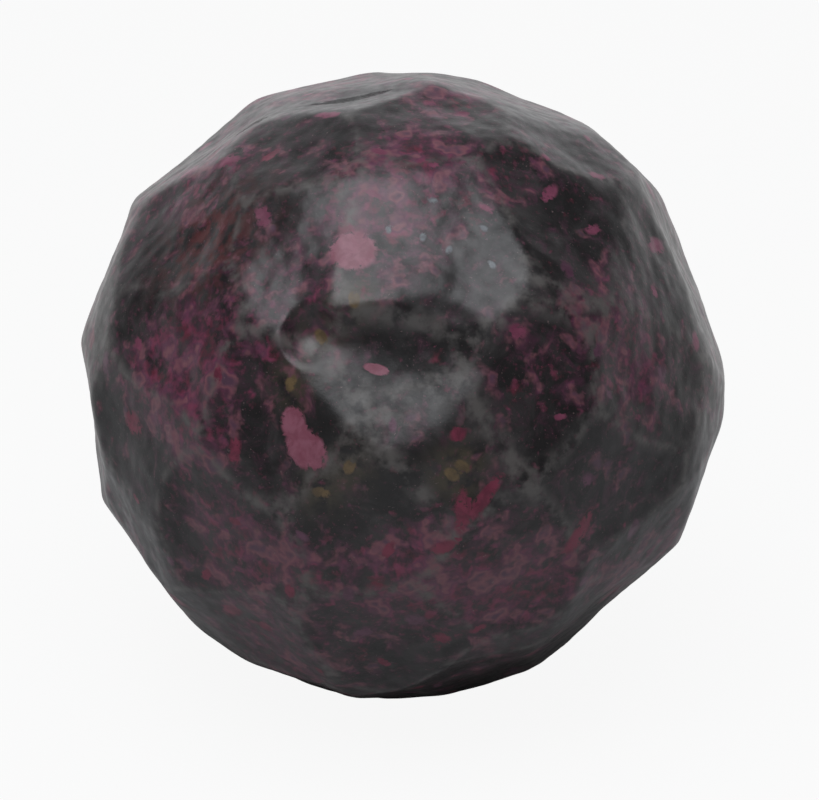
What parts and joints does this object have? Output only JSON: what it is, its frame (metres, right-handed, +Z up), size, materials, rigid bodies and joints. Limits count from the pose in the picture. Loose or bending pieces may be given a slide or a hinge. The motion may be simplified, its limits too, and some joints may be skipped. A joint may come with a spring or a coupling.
{
  "type": "cue ball",
  "caption": "Dark cue ball of cast composition with coloured chips set flush in it, hand dressed in shallow flats, with a worn hollow on its face and a flat to rest on.",
  "frame": {"origin": "the ball's centre, which is also its centre of mass", "axes": "+Z up from the rest flat through the centre; the face with the worn hollow looks along -Y and 25 degrees up; +X to the right of someone looking at that face"},
  "size_m": [0.0568, 0.0565, 0.0556],
  "materials": {
    "dark_casting": "hand-smoothed, semi-gloss, near black brown",
    "rose_chip": "smoothed flush, dusty rose",
    "crimson_chip": "smoothed flush, deep crimson",
    "magenta_chip": "smoothed flush, magenta",
    "mauve_chip": "smoothed flush, dull mauve",
    "ochre_chip": "smoothed flush, ochre",
    "pale_grain": "smoothed flush, pale blue grey"
  },
  "bodies": {
    "root": {"dark_casting": "dark_casting", "pink_block_chip": "rose_chip", "rose_shard_chip": "rose_chip", "hollow_crescent_chip": "rose_chip", "crimson_bar_chip": "crimson_chip", "crimson_vee_chip": "crimson_chip", "magenta_flakes": "magenta_chip", "crimson_flakes": "crimson_chip", "mauve_flakes": "mauve_chip", "ochre_flakes": "ochre_chip", "pale_grains": "pale_grain"}
  },
  "joints": []
}
